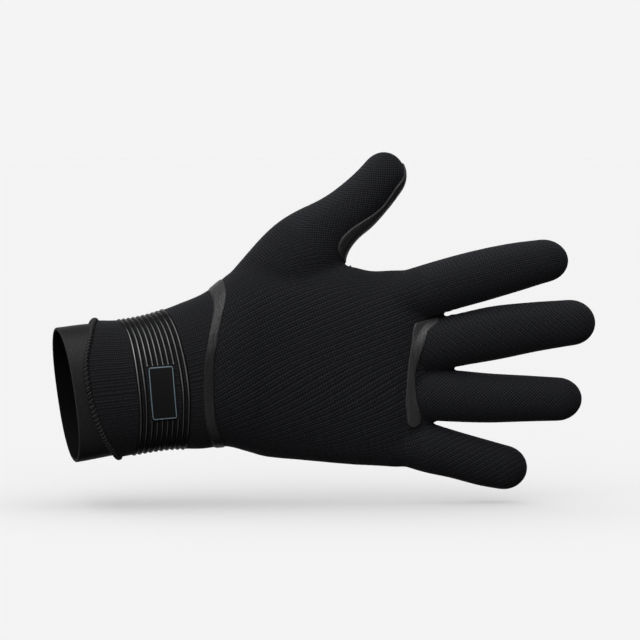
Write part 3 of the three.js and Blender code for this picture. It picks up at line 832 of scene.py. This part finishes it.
SLEEVE_RADIUS = 29.5  # mm; the sleeve's knit is as long round as a circle of this radius


def cloth_grid(angle, stations):
    """Places on the sleeve's knit: along the cuff, and round it from the thumb side."""
    rows = np.stack([np.broadcast_to(v, angle.shape) for v in stations])
    rows = np.concatenate([rows, rows[:, :1]], axis=1)
    around = np.concatenate([angle, [360]]) / 360 * (2 * math.pi * SLEEVE_RADIUS)
    return np.stack([rows, np.broadcast_to(around, rows.shape)], -1)


sleeve_edge = cuff_line("sleeve_edge", ROUND)
sleeve_lines = wall_profile(sleeve_edge, cuff_line("wrist_seam", ROUND), 0.0, -SLEEVE_WALL, 40)
sleeve = band_piece("knit_sleeve", ROUND, sleeve_lines, cloth=cloth_grid(ROUND, sleeve_lines[0]))

SEAL_STEPS, SEAL_LIP = 30, 9
CUT_EDGE_ROWS = 6  # rows of the lip's faces that show the foam


def seal_piece():
    """The smooth cuff, from its rounded rim to its end under the sleeve: its lip shows the cut foam,
    and the rest of its inside is a near-black material of its own, painted shade."""
    inner = -SEAL_DEPTH - SEAL_WALL
    first, last = rim(ROUND) + SEAL_WALL / 2, sleeve_edge + SEAL_TUCK
    lines = wall_profile(first, last, -SEAL_DEPTH, inner, SEAL_STEPS, lip=SEAL_LIP)
    piece = band_piece("smooth_cuff", ROUND, lines)
    row = np.arange(len(piece.data.polygons)) // len(ROUND) - SEAL_STEPS
    inside = row >= CUT_EDGE_ROWS
    on_lip = (row >= 0) & ~inside
    # The inside faces take the near-black second material: painted shade
    finish_faces(piece, 2 * on_lip + inside)
    return piece


seal = seal_piece()

HEM_TURNS = 104
STEPS_A_TURN = 12
STRAND_SIDES = 8
HEM_RADIUS = 1.3  # mm from the middle of the winding to the outside of either strand
HEM_OVERHANG = 1.1  # mm that the middle of the winding lies outside the sleeve's edge
HEM_LIFT = 0.05
STRAND_RADII = (0.62, 0.26)


def rope_strand(name, number, strand_radius):
    """One of two strands of the overlocked edge: a thin round tube wound about the sleeve's edge line,
    so many turns for the whole way round."""
    winding_radius = HEM_RADIUS - strand_radius
    angle = np.linspace(0, 360, HEM_TURNS * STEPS_A_TURN, endpoint=False)
    winding = np.radians(angle * HEM_TURNS) + math.pi * number
    station = cuff_line("sleeve_edge", angle) - HEM_OVERHANG
    along_cuff, out = winding_radius * np.cos(winding), winding_radius * np.sin(winding)
    centre = on_trunk(station + along_cuff, angle, HEM_LIFT + out)
    run = unit(np.roll(centre, -1, axis=0) - np.roll(centre, 1, axis=0))
    outwards = unit(on_trunk(station, angle, 1.0) - on_trunk(station, angle))
    side = unit(np.cross(run, outwards))
    lift = np.cross(side, run)
    turn = np.linspace(0, 2 * math.pi, STRAND_SIDES, endpoint=False)[None, :, None]
    points = centre[:, None] + strand_radius * (np.cos(turn) * side[:, None] + np.sin(turn) * lift[:, None])
    return grid_piece(name, points, close_rows=True, close_columns=True)


binding = [rope_strand(f"hem_thread_{k + 1}", k, radius) for k, radius in enumerate(STRAND_RADII)]


# Grip rings and patch


def patch_middle():
    """X and Z of the patch's middle, seen from the back."""
    station = PATCH["station"]
    return np.array([station, read(TRUNK, "station", "z", np.array(station)) - PATCH["drop"]])


def in_patch(points):
    """Places of points on the patch's own two axes: across it, and up it."""
    return turn_flat(points[..., [0, 2]] - patch_middle(), -PATCH["turn"])


def ring_centre(number, angle):
    """The station of a ring's crest: an even share of the way from the first ring's line to the last
    one's."""
    share = number / (RING_COUNT - 1)
    first, last = cuff_line("first_ring", angle), cuff_line("last_ring", angle)
    return first + (last - first) * share


# The outline of a ring across its run: mm from its middle, and height over the cloth
RING_SIDE = [(-1.05, -0.2), (-0.95, 0.08), (-0.5, 0.14), (-0.27, 0.5)]
OTHER_SIDE = [(-over, height) for over, height in reversed(RING_SIDE)]
RING_OUTLINE = RING_SIDE + [(0, 0.64)] + OTHER_SIDE + [(0, -0.4)]
CREST = (3, 4)  # the places in the outline whose faces carry the printed line
PATCH_GAP = 0.35  # mm between a ring's end and the patch
END_SLOPE = 1.6  # degrees over which a ring's end sinks
END_DEPTH = 0.12


def ring_piece(number):
    """A raised bead on a flat printed band round the sleeve. One that meets the patch is open there,
    and its ends run down into the cloth."""
    stops = WHOLE_RINGS_EACH_SIDE <= number < RING_COUNT - WHOLE_RINGS_EACH_SIDE
    angle = ROUND
    fade = np.ones_like(angle)
    if stops:
        probe = np.linspace(20, 160, 1401)
        place = in_patch(on_trunk(ring_centre(number, probe), probe))
        covered = probe[np.abs(place[:, 1]) < PATCH["height"] / 2 + PATCH_GAP]
        angle = np.linspace(covered.max(), covered.min() + 360, len(ROUND) + 1)
        to_end = np.minimum(angle - angle[0], angle[-1] - angle)
        fade = smooth_step(to_end / END_SLOPE)
    centre = ring_centre(number, angle)
    stations = [centre + over for over, _ in RING_OUTLINE]
    sunk = END_DEPTH * (1 - fade)
    offsets = [fade * max(height, 0) + min(height, 0) - sunk for _, height in RING_OUTLINE]
    points = on_trunk(np.stack(stations), angle[None, :], np.stack(offsets))
    piece = grid_piece(f"rubber_ring_{number + 1}", points, close_rows=True, close_columns=not stops)
    row = np.arange(len(piece.data.polygons)) // (len(angle) - stops)
    finish_faces(piece, np.isin(row, CREST))
    return piece


rings = [ring_piece(k) for k in range(RING_COUNT)]


def trunk_under(x, z):
    """Station and angle on the back of the cuff below places seen from the back, by Newton's rule with
    measured slopes."""
    station, angle = x.copy(), np.full(x.shape, 90.0)
    step = 0.5
    for _ in range(8):
        here = on_trunk(station, angle)
        by_station = (on_trunk(station + step, angle) - here) / step
        by_angle = (on_trunk(station, angle + step) - here) / step
        dx, dz = x - here[..., 0], z - here[..., 2]
        whole = by_station[..., 0] * by_angle[..., 2] - by_angle[..., 0] * by_station[..., 2]
        station = station + (dx * by_angle[..., 2] - dz * by_angle[..., 0]) / whole
        angle = angle + (dz * by_station[..., 0] - dx * by_station[..., 2]) / whole
    return station, angle


def inside_rounded_box(across_box, up_box, half_width, half_height, corner):
    """Distance in from the edge of a rectangle with rounded corners."""
    dx = np.abs(across_box) - half_width + corner
    dz = np.abs(up_box) - half_height + corner
    outside = np.hypot(np.clip(dx, 0, None), np.clip(dz, 0, None)) + np.minimum(np.maximum(dx, dz), 0)
    return corner - outside


FRAME_LINE = (0.55, 0.95)  # the printed frame line, mm in from the patch's edge
LINE_HEIGHT = 0.1
LINE_SLOPE = 0.12
PATCH_EDGE = 0.5  # mm over which the patch rises
PATCH_SUNK = 0.4  # mm that its margin dives under the cloth
PATCH_MARGIN = 0.25
PATCH_WALL = 0.3


def patch_piece():
    """A thin plate with soft edges bent over the cuff: its height rises over half a millimetre at the
    edge, and a printed line stands a hair proud."""
    half_width, half_height = PATCH["width"] / 2, PATCH["height"] / 2
    over = np.linspace(-half_width - PATCH_MARGIN, half_width + PATCH_MARGIN, 90)
    up = np.linspace(-half_height - PATCH_MARGIN, half_height + PATCH_MARGIN, 170)
    across_box, up_box = np.meshgrid(over, up)
    seen = turn_flat(np.stack([across_box, up_box], -1), PATCH["turn"]) + patch_middle()
    station, angle = trunk_under(seen[..., 0], seen[..., 1])
    depth = inside_rounded_box(across_box, up_box, half_width, half_height, PATCH["corner"])
    edge = np.sqrt(smooth_step((depth + 0.05) / PATCH_EDGE))
    outer, inner = FRAME_LINE
    line = smooth_step((depth - outer) / LINE_SLOPE) * smooth_step((inner - depth) / LINE_SLOPE)
    height = -PATCH_SUNK + (PATCH["thickness"] + PATCH_SUNK) * edge + LINE_HEIGHT * line
    piece = grid_piece("rubber_patch", on_trunk(station, angle, height))
    faces = grid_faces(*across_box.shape, False, False)
    middle = depth.ravel()[faces].mean(axis=1)
    finish_faces(piece, (middle > outer) & (middle < inner))
    add_wall(piece, PATCH_WALL)
    return piece


patch = patch_piece()


# Materials


def colour(hex_code):
    """An sRGB hex colour as the linear values that shaders take."""
    parts = [int(hex_code[k : k + 2], 16) / 255 for k in (1, 3, 5)]
    return tuple(v / 12.92 if v <= 0.04045 else ((v + 0.055) / 1.055) ** 2.4 for v in parts) + (1.0,)


def add(tree, kind, *inputs, out=0, **settings):
    """Adds a node: settings are its options, and each input is a value, a linked output, or None to
    leave it."""
    made = tree.nodes.new(kind)
    for key, value in settings.items():
        setattr(made, key, value)
    for socket, value in zip(made.inputs, inputs):
        if isinstance(value, bpy.types.NodeSocket):
            tree.links.new(value, socket)
        elif value is not None:
            socket.default_value = value
    return made.outputs[out]


def new_material(name, base, **sockets):
    """A Principled material whose even values are set on its own sockets; returns it with its tree and
    shader."""
    material = bpy.data.materials.new(name)
    material.use_nodes = True
    tree = material.node_tree
    shader = tree.nodes["Principled BSDF"]
    shader.inputs["Base Color"].default_value = colour(base)
    for key, value in sockets.items():
        shader.inputs[key.replace("_", " ")].default_value = value
    material.diffuse_color = colour(base)
    return material, tree, shader


def coat(tree, shader, share, low, high, height=None, depth=0.0):
    """Links a base colour that goes from low to high as a share goes from 0 to 1, and a relief whose
    height goes from 0 to 1 over a depth in mm. A share or height of None leaves the shader's own."""
    if share is not None:
        mix = add(tree, "ShaderNodeMix", share, data_type="RGBA", out=2)
        mix.node.inputs["A"].default_value = colour(low)
        mix.node.inputs["B"].default_value = colour(high)
        tree.links.new(mix, shader.inputs["Base Color"])
    if height is not None:
        relief = add(tree, "ShaderNodeBump", 1.0, depth * MM, None, height)
        tree.links.new(relief, shader.inputs["Normal"])


def wave(tree, place, pitch, shift=0.0):
    """Half of one plus the sine of a place over a pitch in mm: 0 in the hollows and 1 on the ridges."""
    turned = add(tree, "ShaderNodeMath", place, 2 * math.pi / pitch, shift, operation="MULTIPLY_ADD")
    sine = add(tree, "ShaderNodeMath", turned, operation="SINE")
    return add(tree, "ShaderNodeMath", sine, 0.5, 0.5, operation="MULTIPLY_ADD")


WOBBLE_SIZE = 0.3  # in a mm: the waves in which the rows of the knit stray
WOBBLE = (0.5, 0.5, 0)  # mm along and across the cloth
MOTTLE_SIZE = 0.9  # in a mm: worn and dark specks of the yarn


def knit_height(tree, layer, rung, row, groove, slant, depth):
    """Height of a beaded knit, 0 to 1. rung and row are the beads' pitches along and across their rows,
    groove is the pitch of the dark lines between ribs and depth their strength, slant is the rows' rise
    in degrees."""
    cloth = add(tree, "ShaderNodeUVMap", uv_map=layer)
    wobble = add(tree, "ShaderNodeTexNoise", cloth, None, WOBBLE_SIZE, 2.0, 0.5, out=1)
    moved = add(tree, "ShaderNodeVectorMath", wobble, (0.5, 0.5, 0.5), operation="SUBTRACT")
    moved = add(tree, "ShaderNodeVectorMath", moved, WOBBLE, cloth, operation="MULTIPLY_ADD")
    turn = math.radians(-slant)
    turned = add(tree, "ShaderNodeVectorRotate", moved, None, None, turn, rotation_type="Z_AXIS")
    split = add(tree, "ShaderNodeSeparateXYZ", turned)
    u, v = split, split.node.outputs[1]
    rungs, rows = wave(tree, u, rung), wave(tree, v, row)
    dots = add(tree, "ShaderNodeMath", rungs, rows, operation="MULTIPLY")
    plain = add(tree, "ShaderNodeMath", rungs, rows, operation="ADD")
    raised_dots = add(tree, "ShaderNodeMath", dots, 0.4, operation="MULTIPLY")
    beads = add(tree, "ShaderNodeMath", plain, 0.3, raised_dots, operation="MULTIPLY_ADD")
    ribs = add(tree, "ShaderNodeMapRange", wave(tree, v, groove, math.pi / 2), 0.02, 0.3, 1 - depth, 1.0)
    return add(tree, "ShaderNodeMath", beads, ribs, operation="MULTIPLY"), cloth


RELIEF = 0.3  # mm from the hollows to the crests of the knit
COURSE_PITCH = 1.9


def knit_material(name, light, dark, own, palm=None, course_highlight=0.0):
    """Knitted nylon laminated on neoprene: matt black yarn in small beads. own and palm are the knits
    of the digit and of the palm, which fade into each other at the digit's root. The last argument
    is the strength of the pale lines across a digit where the cloth turns up over its thumb side: a
    painted highlight, in the colour as well as in the relief. The colour follows the relief, paler on
    the crests and darker in the hollows and grooves: painted light and shade."""
    material, tree, shader = new_material(
        name, light, Roughness=0.85, Specular_IOR_Level=0.25, Sheen_Weight=0.12, Sheen_Roughness=0.5
    )
    shader.inputs["Sheen Tint"].default_value = colour("#c8ccd6")
    height, cloth = knit_height(tree, "weave", *own)
    if course_highlight:
        split = add(tree, "ShaderNodeSeparateXYZ", cloth)
        line = add(tree, "ShaderNodeMath", split.node.outputs[1], 0.35, split, operation="MULTIPLY_ADD")
        lines = add(tree, "ShaderNodeMapRange", wave(tree, line, COURSE_PITCH), 0.45, 1.0, 0.0, course_highlight)
        # painted highlight: the pale lines show only on the thumb side, the top of the digit
        upper = add(tree, "ShaderNodeMapRange", split.node.outputs[1], 5.0, 10.0, 0.0, 1.0)
        height = add(tree, "ShaderNodeMath", lines, upper, height, operation="MULTIPLY_ADD")
    if palm:
        palm_height, _ = knit_height(tree, "palm_weave", *palm)
        share = add(tree, "ShaderNodeAttribute", out=2, attribute_name="palm_share")
        height = add(tree, "ShaderNodeMix", share, None, height, palm_height)
    mottle = add(tree, "ShaderNodeTexNoise", cloth, None, MOTTLE_SIZE, 3.0, 0.6)
    speckle = add(tree, "ShaderNodeMath", mottle, 1.8, 0.1, operation="MULTIPLY_ADD")
    # painted light and shade: the colour is paler on the knit's crests and darker in its hollows and
    # grooves
    tone = add(tree, "ShaderNodeMath", height, speckle, operation="MULTIPLY")
    coat(tree, shader, tone, dark, light, height, RELIEF)
    return material


DUST = "#77777a"


def rubber_material(name, base, roughness, grain, grain_depth, dust=0.0, **sockets):
    """A smooth synthetic skin whose even sheen breaks up in a fine grain, in mm. dust is the strength
    of its fine pale specks."""
    material, tree, shader = new_material(name, base, Roughness=roughness, **sockets)
    place = add(tree, "ShaderNodeTexCoord", out=3)
    noise = add(tree, "ShaderNodeTexNoise", place, None, 1 / (grain * MM), 3.0, 0.55)
    specks = add(tree, "ShaderNodeMapRange", noise, 0.56, 0.8, 0.0, dust) if dust else None
    coat(tree, shader, specks, base, DUST, noise, grain_depth)
    return material


HIGHLIGHT_FROM, HIGHLIGHT_TO = 21.5, 25  # mm above the opening's centre where the tapes turn from low to high: a painted highlight on their upper parts
WRINKLES = (900, 900, 75)  # in a metre: across the tape, through it and along it
WRINKLE_DEPTH = 0.6


def tape_material(name, low, high, turn):
    """Satin tape whose wrinkles run along it: noise drawn out twelve times along Z turned by some
    degrees about Y. Its colour goes from low to high between two heights on the hand, a painted
    highlight on its upper part, and the same noise streaks it paler and darker: painted sheen."""
    material, tree, shader = new_material(name, low, Roughness=0.42, Specular_IOR_Level=0.42)
    place = add(tree, "ShaderNodeTexCoord", out=3)
    radians = math.radians(turn)
    turned = add(tree, "ShaderNodeVectorRotate", place, None, None, radians, rotation_type="Y_AXIS")
    drawn = add(tree, "ShaderNodeVectorMath", turned, WRINKLES, operation="MULTIPLY")
    streaks = add(tree, "ShaderNodeTexNoise", drawn, None, 1.0, 3.0, 0.6)
    height = add(tree, "ShaderNodeSeparateXYZ", place).node.outputs[2]
    # painted highlight: the tape's colour turns paler above these heights
    upper = add(tree, "ShaderNodeMapRange", height, HIGHLIGHT_FROM * MM, HIGHLIGHT_TO * MM, 0.0, 1.0)
    # painted sheen: the wrinkle noise also streaks the colour paler and darker
    streak_sheen = add(tree, "ShaderNodeMath", streaks, 2.4, -1.2, operation="MULTIPLY_ADD")
    share = add(tree, "ShaderNodeMath", upper, streak_sheen, operation="ADD")
    coat(tree, shader, share, low, high, streaks, WRINKLE_DEPTH)
    return material


def silver_print_with_highlight(name, dull, bright, height, spread):
    """Metallic print with a painted highlight, full at one height on the cuff and darker away from it:
    the bright colour's share is e to the power of minus the square of the distance over the spread,
    both in mm."""
    material, tree, shader = new_material(name, dull, Roughness=0.3, Metallic=0.85)
    place = add(tree, "ShaderNodeTexCoord", out=3)
    up = add(tree, "ShaderNodeSeparateXYZ", place).node.outputs[2]
    per_spread, start = 1 / (spread * MM), -height / spread
    distance = add(tree, "ShaderNodeMath", up, per_spread, start, operation="MULTIPLY_ADD")
    square = add(tree, "ShaderNodeMath", distance, distance, operation="MULTIPLY")
    negative = add(tree, "ShaderNodeMath", square, -1.0, operation="MULTIPLY")
    # painted highlight: the print is brightest at one height on the cuff
    share = add(tree, "ShaderNodeMath", negative, operation="EXPONENT")
    coat(tree, shader, share, dull, bright)
    return material


# rung, row and groove pitches in mm, slant of the rows in degrees and strength of the grooves
PALM_KNIT = (1.2, 1.3, 2.6, 0, 0.62)
# The two colours of each knit, the sleeve's too: its crests and its hollows, painted light and shade of the
# relief
YARN_LIT_AND_SHADED = ("#36373c", "#050506")
index_knit = knit_material("index_knit_neoprene", *YARN_LIT_AND_SHADED, (1.05, 1.05, 2.1, 0, 0.3), PALM_KNIT, course_highlight=0.35)
thumb_knit = knit_material("thumb_knit_neoprene", *YARN_LIT_AND_SHADED, (1.1, 1.1, 2.2, 36, 0.25), PALM_KNIT, course_highlight=0.35)
little_knit = knit_material("little_knit_neoprene", *YARN_LIT_AND_SHADED, (1.1, 1.2, 2.4, 44, 0.7), PALM_KNIT)
middle_knit = knit_material("middle_knit_neoprene", *YARN_LIT_AND_SHADED, (1.15, 1.15, 2.3, -48, 0.5), course_highlight=0.4)
ring_knit = knit_material("ring_knit_neoprene", *YARN_LIT_AND_SHADED, (1.15, 1.15, 2.3, 44, 0.25))
sleeve_knit = knit_material("rib_knit_nylon", "#323337", "#060607", (0.95, 1.1, 2.2, 0, 0.45))
# Skin-surface neoprene with a moulded, slightly dusty face
smooth_skin = rubber_material(
    "skin_surface_neoprene", "#1e1e1f", 0.6, 0.8, 0.03, dust=0.2, Specular_IOR_Level=0.3
)
# The same skin inside the cuff, painted near-black: painted shade where almost no light comes
shaded_inner_skin = rubber_material("inner_skin_neoprene", "#040404", 0.8, 0.8, 0.02, Specular_IOR_Level=0.15)
# The cut edge of the foam at the rim, paler than its skin
cut_edge = rubber_material("cut_neoprene_foam", "#353536", 0.8, 0.4, 0.05, Specular_IOR_Level=0.3)
# Heat-pressed polyurethane tape: satin, with long soft wrinkles, a painted highlight high on the hand and
# painted sheen streaks along the wrinkles
seam_tape = tape_material("polyurethane_seam_tape", "#282828", "#3b3b3b", 0)
# The finger and thumb tapes are paler copies of the same tape: painted light
finger_seam_tape = tape_material("polyurethane_finger_tape", "#424242", "#4c4c4c", 0)
along_thumb_tape = DIGITS["thumb"]["tilt"] - 90
thumb_seam_tape = tape_material("polyurethane_thumb_tape", "#2e2e2e", "#454545", along_thumb_tape)
# Screen-printed silicone: a black band, and a silver-grey line on each crest whose painted highlight
# is fullest above the cuff's middle
grip_rubber = rubber_material("printed_silicone", "#0b0b0c", 0.5, 0.6, 0.01, Specular_IOR_Level=0.3)
grip_line = silver_print_with_highlight("silver_grey_print_painted_highlight", "#626262", "#e6e6e6", height=13, spread=10)
# Moulded soft plastic, matt black, with its frame line printed in blue-grey
patch_rubber = rubber_material("moulded_pvc", "#0c0c0d", 0.6, 0.5, 0.01, Specular_IOR_Level=0.3)
patch_print = rubber_material("blue_grey_print", "#8396a2", 0.5, 0.5, 0.005)
# Spun polyester thread: a thick black strand and a thin grey one, whose grey is a painted highlight
# standing in for glints on the twisted black thread
hem_thread = rubber_material("polyester_thread", "#0b0b0c", 0.7, 0.4, 0.06)
glint_grey_thread = rubber_material("grey_polyester_thread_painted_highlight", "#48484a", 0.7, 0.4, 0.06)

SURFACES = [
    (hand, ["hand_shell"], "knit_neoprene", [index_knit, thumb_knit, little_knit]),
    (middle_finger, ["middle_finger"], "knit_neoprene", [middle_knit]),
    (ring_finger, ["ring_finger"], "knit_neoprene", [ring_knit]),
    (sleeve, ["cuff_sleeve"], "knit_sleeve", [sleeve_knit]),
    (seal, ["seal_cuff"], "smooth_skin", [smooth_skin, shaded_inner_skin, cut_edge]),
    (patch, ["blank_patch"], "patch_rubber", [patch_rubber, patch_print]),
    (wrist_tape, ["wrist_tape"], "seam_tape", [seam_tape]),
    (finger_tape, ["finger_tape"], "seam_tape", [finger_seam_tape]),
    (thumb_tape, ["thumb_tape"], "seam_tape", [thumb_seam_tape]),
]
for number, ring in enumerate(rings, 1):
    SURFACES.append((ring, [f"grip_ring_{number}"], "grip_rubber", [grip_rubber, grip_line]))
for strand, thread in zip(binding, (hem_thread, glint_grey_thread)):
    SURFACES.append((strand, ["hem_binding"], "hem_thread", [thread]))
for piece, nodes, slot, materials in SURFACES:
    for material in materials:
        piece.data.materials.append(material)
    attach(piece, "root")
    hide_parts(*nodes)


# Floor, light and camera

FLOOR_HEIGHT = -53
FLOOR_REACH = 9000
BACKDROP = "#f4f4f4"


def stage_floor():
    """One large flat square, seen by the camera and left out of the glove's own light."""
    x = np.array([-1, 1, 1, -1]) * FLOOR_REACH
    y = np.array([-1, -1, 1, 1]) * FLOOR_REACH
    corners = np.stack([x, y, np.full(4, float(FLOOR_HEIGHT))], -1)
    floor = make_mesh("floor", corners, np.array([[0, 1, 2, 3]]))
    paper, _, _ = new_material("white_floor", "#f0f0f0", Roughness=1.0, Specular_IOR_Level=0.0)
    floor.data.materials.append(paper)
    floor.visible_diffuse = False
    floor.visible_glossy = False
    floor.visible_shadow = False
    return floor


def sun(name, strength, spread, azimuth, elevation):
    """A distant soft light. azimuth 0 comes from the viewer and grows to the right, spread is its width in
    degrees."""
    data = bpy.data.lights.new(name, "SUN")
    data.energy = strength
    data.angle = math.radians(spread)
    lamp = bpy.data.objects.new(name, data)
    lamp.rotation_euler = (math.radians(90 - elevation), 0, math.radians(azimuth))
    bpy.context.scene.collection.objects.link(lamp)
    return lamp


def shine_only_on(lamp, lit):
    """Lets a light reach the named objects alone, like a lamp behind a flag."""
    group = bpy.data.collections.new(lamp.name + "_reach")
    for thing in lit:
        group.objects.link(thing)
    lamp.light_linking.receiver_collection = group


# strength, width, azimuth and elevation of each light
GLOVE_LIGHTS = {
    "overhead_softbox": (2.3, 70, -25, 60),
    "side_fill": (0.3, 70, -70, 25),
    "low_fill": (0.38, 70, 0, -40),
    "back_fill": (0.8, 80, 190, 0),
}
FLOOR_LIGHT = (1.2, 130, 0, 80)
FLOOR_WASH = (2.06, 90, 0, 90)  # fills the floor's shadow up to the photo's pale grey

floor = stage_floor()
glove_pieces = [piece for piece, *_ in SURFACES]
for name, settings in GLOVE_LIGHTS.items():
    shine_only_on(sun(name, *settings), glove_pieces)
shine_only_on(sun("floor_light", *FLOOR_LIGHT), [floor])
floor_wash = sun("floor_wash", *FLOOR_WASH)
floor_wash.data.use_shadow = False
shine_only_on(floor_wash, [floor])

world = bpy.data.worlds.new("studio")
bpy.context.scene.world = world
world.use_nodes = True
world.node_tree.nodes["Background"].inputs["Color"].default_value = colour(BACKDROP)
world.node_tree.nodes["Background"].inputs["Strength"].default_value = 1.0
world.cycles_visibility.diffuse = False
world.cycles_visibility.glossy = False
bpy.context.scene.view_settings.view_transform = "Standard"

CAMERA_PLACE = (0.12192, -1.48935, 0.14016)  # m
CAMERA_TILT = 86  # degrees up from looking straight down
CAMERA_LENS = 175.8
SENSOR_WIDTH = 36
FARTHEST_SEEN = 100  # m

camera = bpy.data.objects.new("camera", bpy.data.cameras.new("camera"))
camera.data.sensor_width = SENSOR_WIDTH
camera.data.lens = CAMERA_LENS
camera.data.clip_end = FARTHEST_SEEN
camera.location = CAMERA_PLACE
camera.rotation_euler = (math.radians(CAMERA_TILT), 0, 0)
bpy.context.scene.collection.objects.link(camera)
bpy.context.scene.camera = camera
